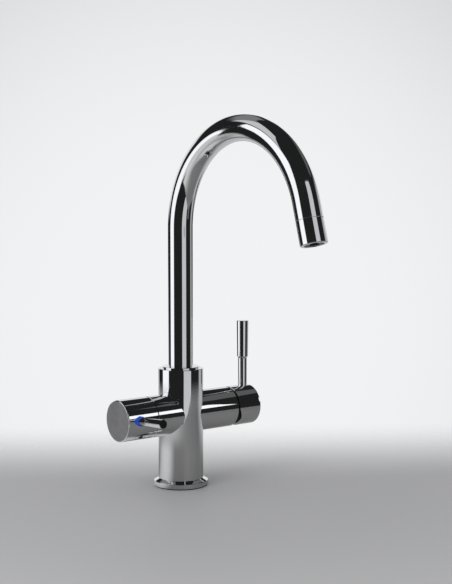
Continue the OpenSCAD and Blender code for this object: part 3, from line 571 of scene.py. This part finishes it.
def floor_colour(tree, position, distance, glossy):
    """Plain grey, except in the chrome, where the floor carries painted shade and painted light.
    """
    axes = split_axes(tree, position)
    mirrored = calculate(tree, "MULTIPLY", glossy, fall_between(tree, distance, *MIRRORED_SPAN))
    # Only mirrored rays see the floor's painted shade and painted light
    colour = mix_colours(tree, mirrored, shade(FLOOR_GREY),
                         mirrored_floor_light_and_shade(tree, position, axes, distance))
    # Painted light on the floor towards the back right, seen only in the chrome
    back_right = calculate(tree, "ADD", axes["X"], axes["Y"])
    lit_back = calculate(tree, "MULTIPLY", glossy, ramp_between(tree, back_right, *BACK_SPAN))
    return mix_colours(tree, lit_back, colour, shade(BACK_PAINTED_LIGHT))


def floor_fade(tree, position, distance, rays):
    """How far the floor gives way to the surround: 0 is all floor, and 1 is none."""
    behind = vector_maths(tree, "DOT_PRODUCT", position, AWAY_FROM_CAMERA)["Value"]
    mirrored = calculate(tree, "MAXIMUM", fall_between(tree, behind, *MIRRORED_FRONT),
                         ramp_between(tree, distance, *MIRRORED_FADE))
    fade = choose_by_ray(tree, rays["Is Glossy Ray"], mirrored,
                         ramp_between(tree, distance, *PLAIN_FADE))
    backwards = calculate(tree, "MULTIPLY", rays["Is Camera Ray"],
                          ramp_between(tree, behind, *CAMERA_FADE))
    return calculate(tree, "MAXIMUM", fade, backwards)


def pale_floor():
    finish, tree, surface, position = start_finish(
        "pale_floor", Roughness=0.55, Specular_IOR_Level=0.2)
    rays = tree.nodes.new("ShaderNodeLightPath").outputs
    distance = vector_maths(tree, "LENGTH", position)["Value"]
    feed(tree, surface.inputs["Base Color"],
         floor_colour(tree, position, distance, rays["Is Glossy Ray"]))
    clear = tree.nodes.new("ShaderNodeBsdfTransparent")
    blend = tree.nodes.new("ShaderNodeMixShader")
    tree.links.new(floor_fade(tree, position, distance, rays), blend.inputs[0])
    tree.links.new(surface.outputs[0], blend.inputs[1])
    tree.links.new(clear.outputs[0], blend.inputs[2])
    tree.links.new(blend.outputs[0], tree.nodes["Material Output"].inputs["Surface"])
    return finish


def lay_floor():
    """Pale table top that fades into the surround."""
    bm = bmesh.new()
    bmesh.ops.create_circle(bm, cap_ends=True, radius=FLOOR_RADIUS, segments=64)
    floor = add_to_scene("floor", close_mesh(bm, "floor", pale_floor()))


# Lamp and the two soft boxes that stand near the tap

LAMP_PLACE = (-1.35, -0.25, 0.95)
LAMP_AIM = Vector((0, 0, 0.1))
LAMP_WIDTH, LAMP_HEIGHT = 0.9, 1.2
LAMP_POWER = 9.0

BOX_AIM = Vector((0, 0, 81 * MM))

# Near enough that only part of the tap mirrors them:
# name, centre in metres, width, height, brightness
NEAR_BOXES = [
    ("barrel_line", (0.530, -0.820, 0.430), 0.30, 0.24, 1.2),
    ("barrel_sheen", (0.615, -0.160, 0.800), 0.54, 0.17, 0.11),
]


def hang_lamp():
    """Large soft lamp on the left that gives the tap its shadow."""
    light = bpy.data.lights.new("soft_lamp", "AREA")
    light.shape = "RECTANGLE"
    light.size = LAMP_WIDTH
    light.size_y = LAMP_HEIGHT
    light.energy = LAMP_POWER
    lamp = add_to_scene("soft_lamp", light)
    lamp.location = LAMP_PLACE
    lamp.rotation_euler = (LAMP_AIM - lamp.location).to_track_quat("-Z", "Y").to_euler()
    lamp.visible_glossy = False


def box_glow(name, level):
    glow = bpy.data.materials.new(name)
    glow.use_nodes = True
    tree = glow.node_tree
    tree.nodes.clear()
    emission = tree.nodes.new("ShaderNodeEmission")
    emission.inputs["Strength"].default_value = level
    output = tree.nodes.new("ShaderNodeOutputMaterial")
    tree.links.new(emission.outputs[0], output.inputs["Surface"])
    return glow


def hang_near_box(name, place, width, height, level):
    """Soft box that is hidden from the camera and from matt surfaces."""
    centre = Vector(place)
    facing = (BOX_AIM - centre).to_track_quat("Z", "Y").to_matrix().to_4x4()
    size = Matrix.Diagonal((width, height, 1.0, 1.0))
    bm = bmesh.new()
    bmesh.ops.create_grid(bm, x_segments=1, y_segments=1, size=0.5)
    bmesh.ops.transform(bm, verts=bm.verts, matrix=Matrix.Translation(centre) @ facing @ size)
    box = add_to_scene(name, close_mesh(bm, name, box_glow(name, level)))
    box.visible_camera = False
    box.visible_diffuse = False
    box.visible_shadow = False


# End disc of the mixer's cap, with the nick that shows in its edge

NICK_ANGLE = math.radians(20.0)
NICK_HALF = 2.3 * MM
NICK_DEPTH = 2.4 * MM
DISC_STEPS = 120
DISC_EDGE = 0.12 * MM
SHARP_ANGLE = 0.6


def disc_outline(radius):
    """Points round the disc as (y, z), with the nick in front and above the middle."""
    front = math.pi - NICK_ANGLE
    half = math.asin(NICK_HALF / radius)
    points = []
    for step in range(DISC_STEPS + 1):
        angle = front + half + step / DISC_STEPS * (2 * math.pi - 2 * half)
        points.append((radius * math.cos(angle), radius * math.sin(angle)))
    nick_bottom = radius - NICK_DEPTH
    for along in (-NICK_HALF, NICK_HALF):
        points.append((nick_bottom * math.cos(front) - along * math.sin(front),
                       nick_bottom * math.sin(front) + along * math.cos(front)))
    return points


def build_end_disc():
    """Stands in the place of the plain disc, in the box that the plain disc's own mesh spans."""
    low, high = (Vector(corner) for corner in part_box("handle_end_disc"))
    middle = (low + high) / 2
    outline = disc_outline((high.z - low.z) / 2)
    bm = bmesh.new()
    rim = [bm.verts.new((low.x, middle.y + y, middle.z + z)) for y, z in outline]
    face = bm.faces.new(rim)
    grown = bmesh.ops.extrude_face_region(bm, geom=[face])["geom"]
    grown_corners = [part for part in grown if isinstance(part, bmesh.types.BMVert)]
    bmesh.ops.translate(bm, vec=(high.x - low.x, 0, 0), verts=grown_corners)
    bmesh.ops.recalc_face_normals(bm, faces=bm.faces)
    sharp = [edge for edge in bm.edges if edge.calc_face_angle(0.0) > SHARP_ANGLE]
    bmesh.ops.bevel(bm, geom=sharp, offset=DISC_EDGE, segments=2, profile=0.5,
                    affect="EDGES", material=-1)
    mesh = close_mesh(bm, "nicked_end_disc", FINISHES["satin_chrome"])
    for face in mesh.polygons:
        face.use_smooth = abs(face.normal.x) < 0.5
    disc = add_to_scene("nicked_end_disc", mesh)
    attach(disc, "handle")
    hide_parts("handle_end_disc")


place_camera()
dress_nodes()
build_world()
lay_floor()
hang_lamp()
for near_box in NEAR_BOXES:
    hang_near_box(*near_box)
build_end_disc()

bpy.context.scene.view_settings.view_transform = "Standard"
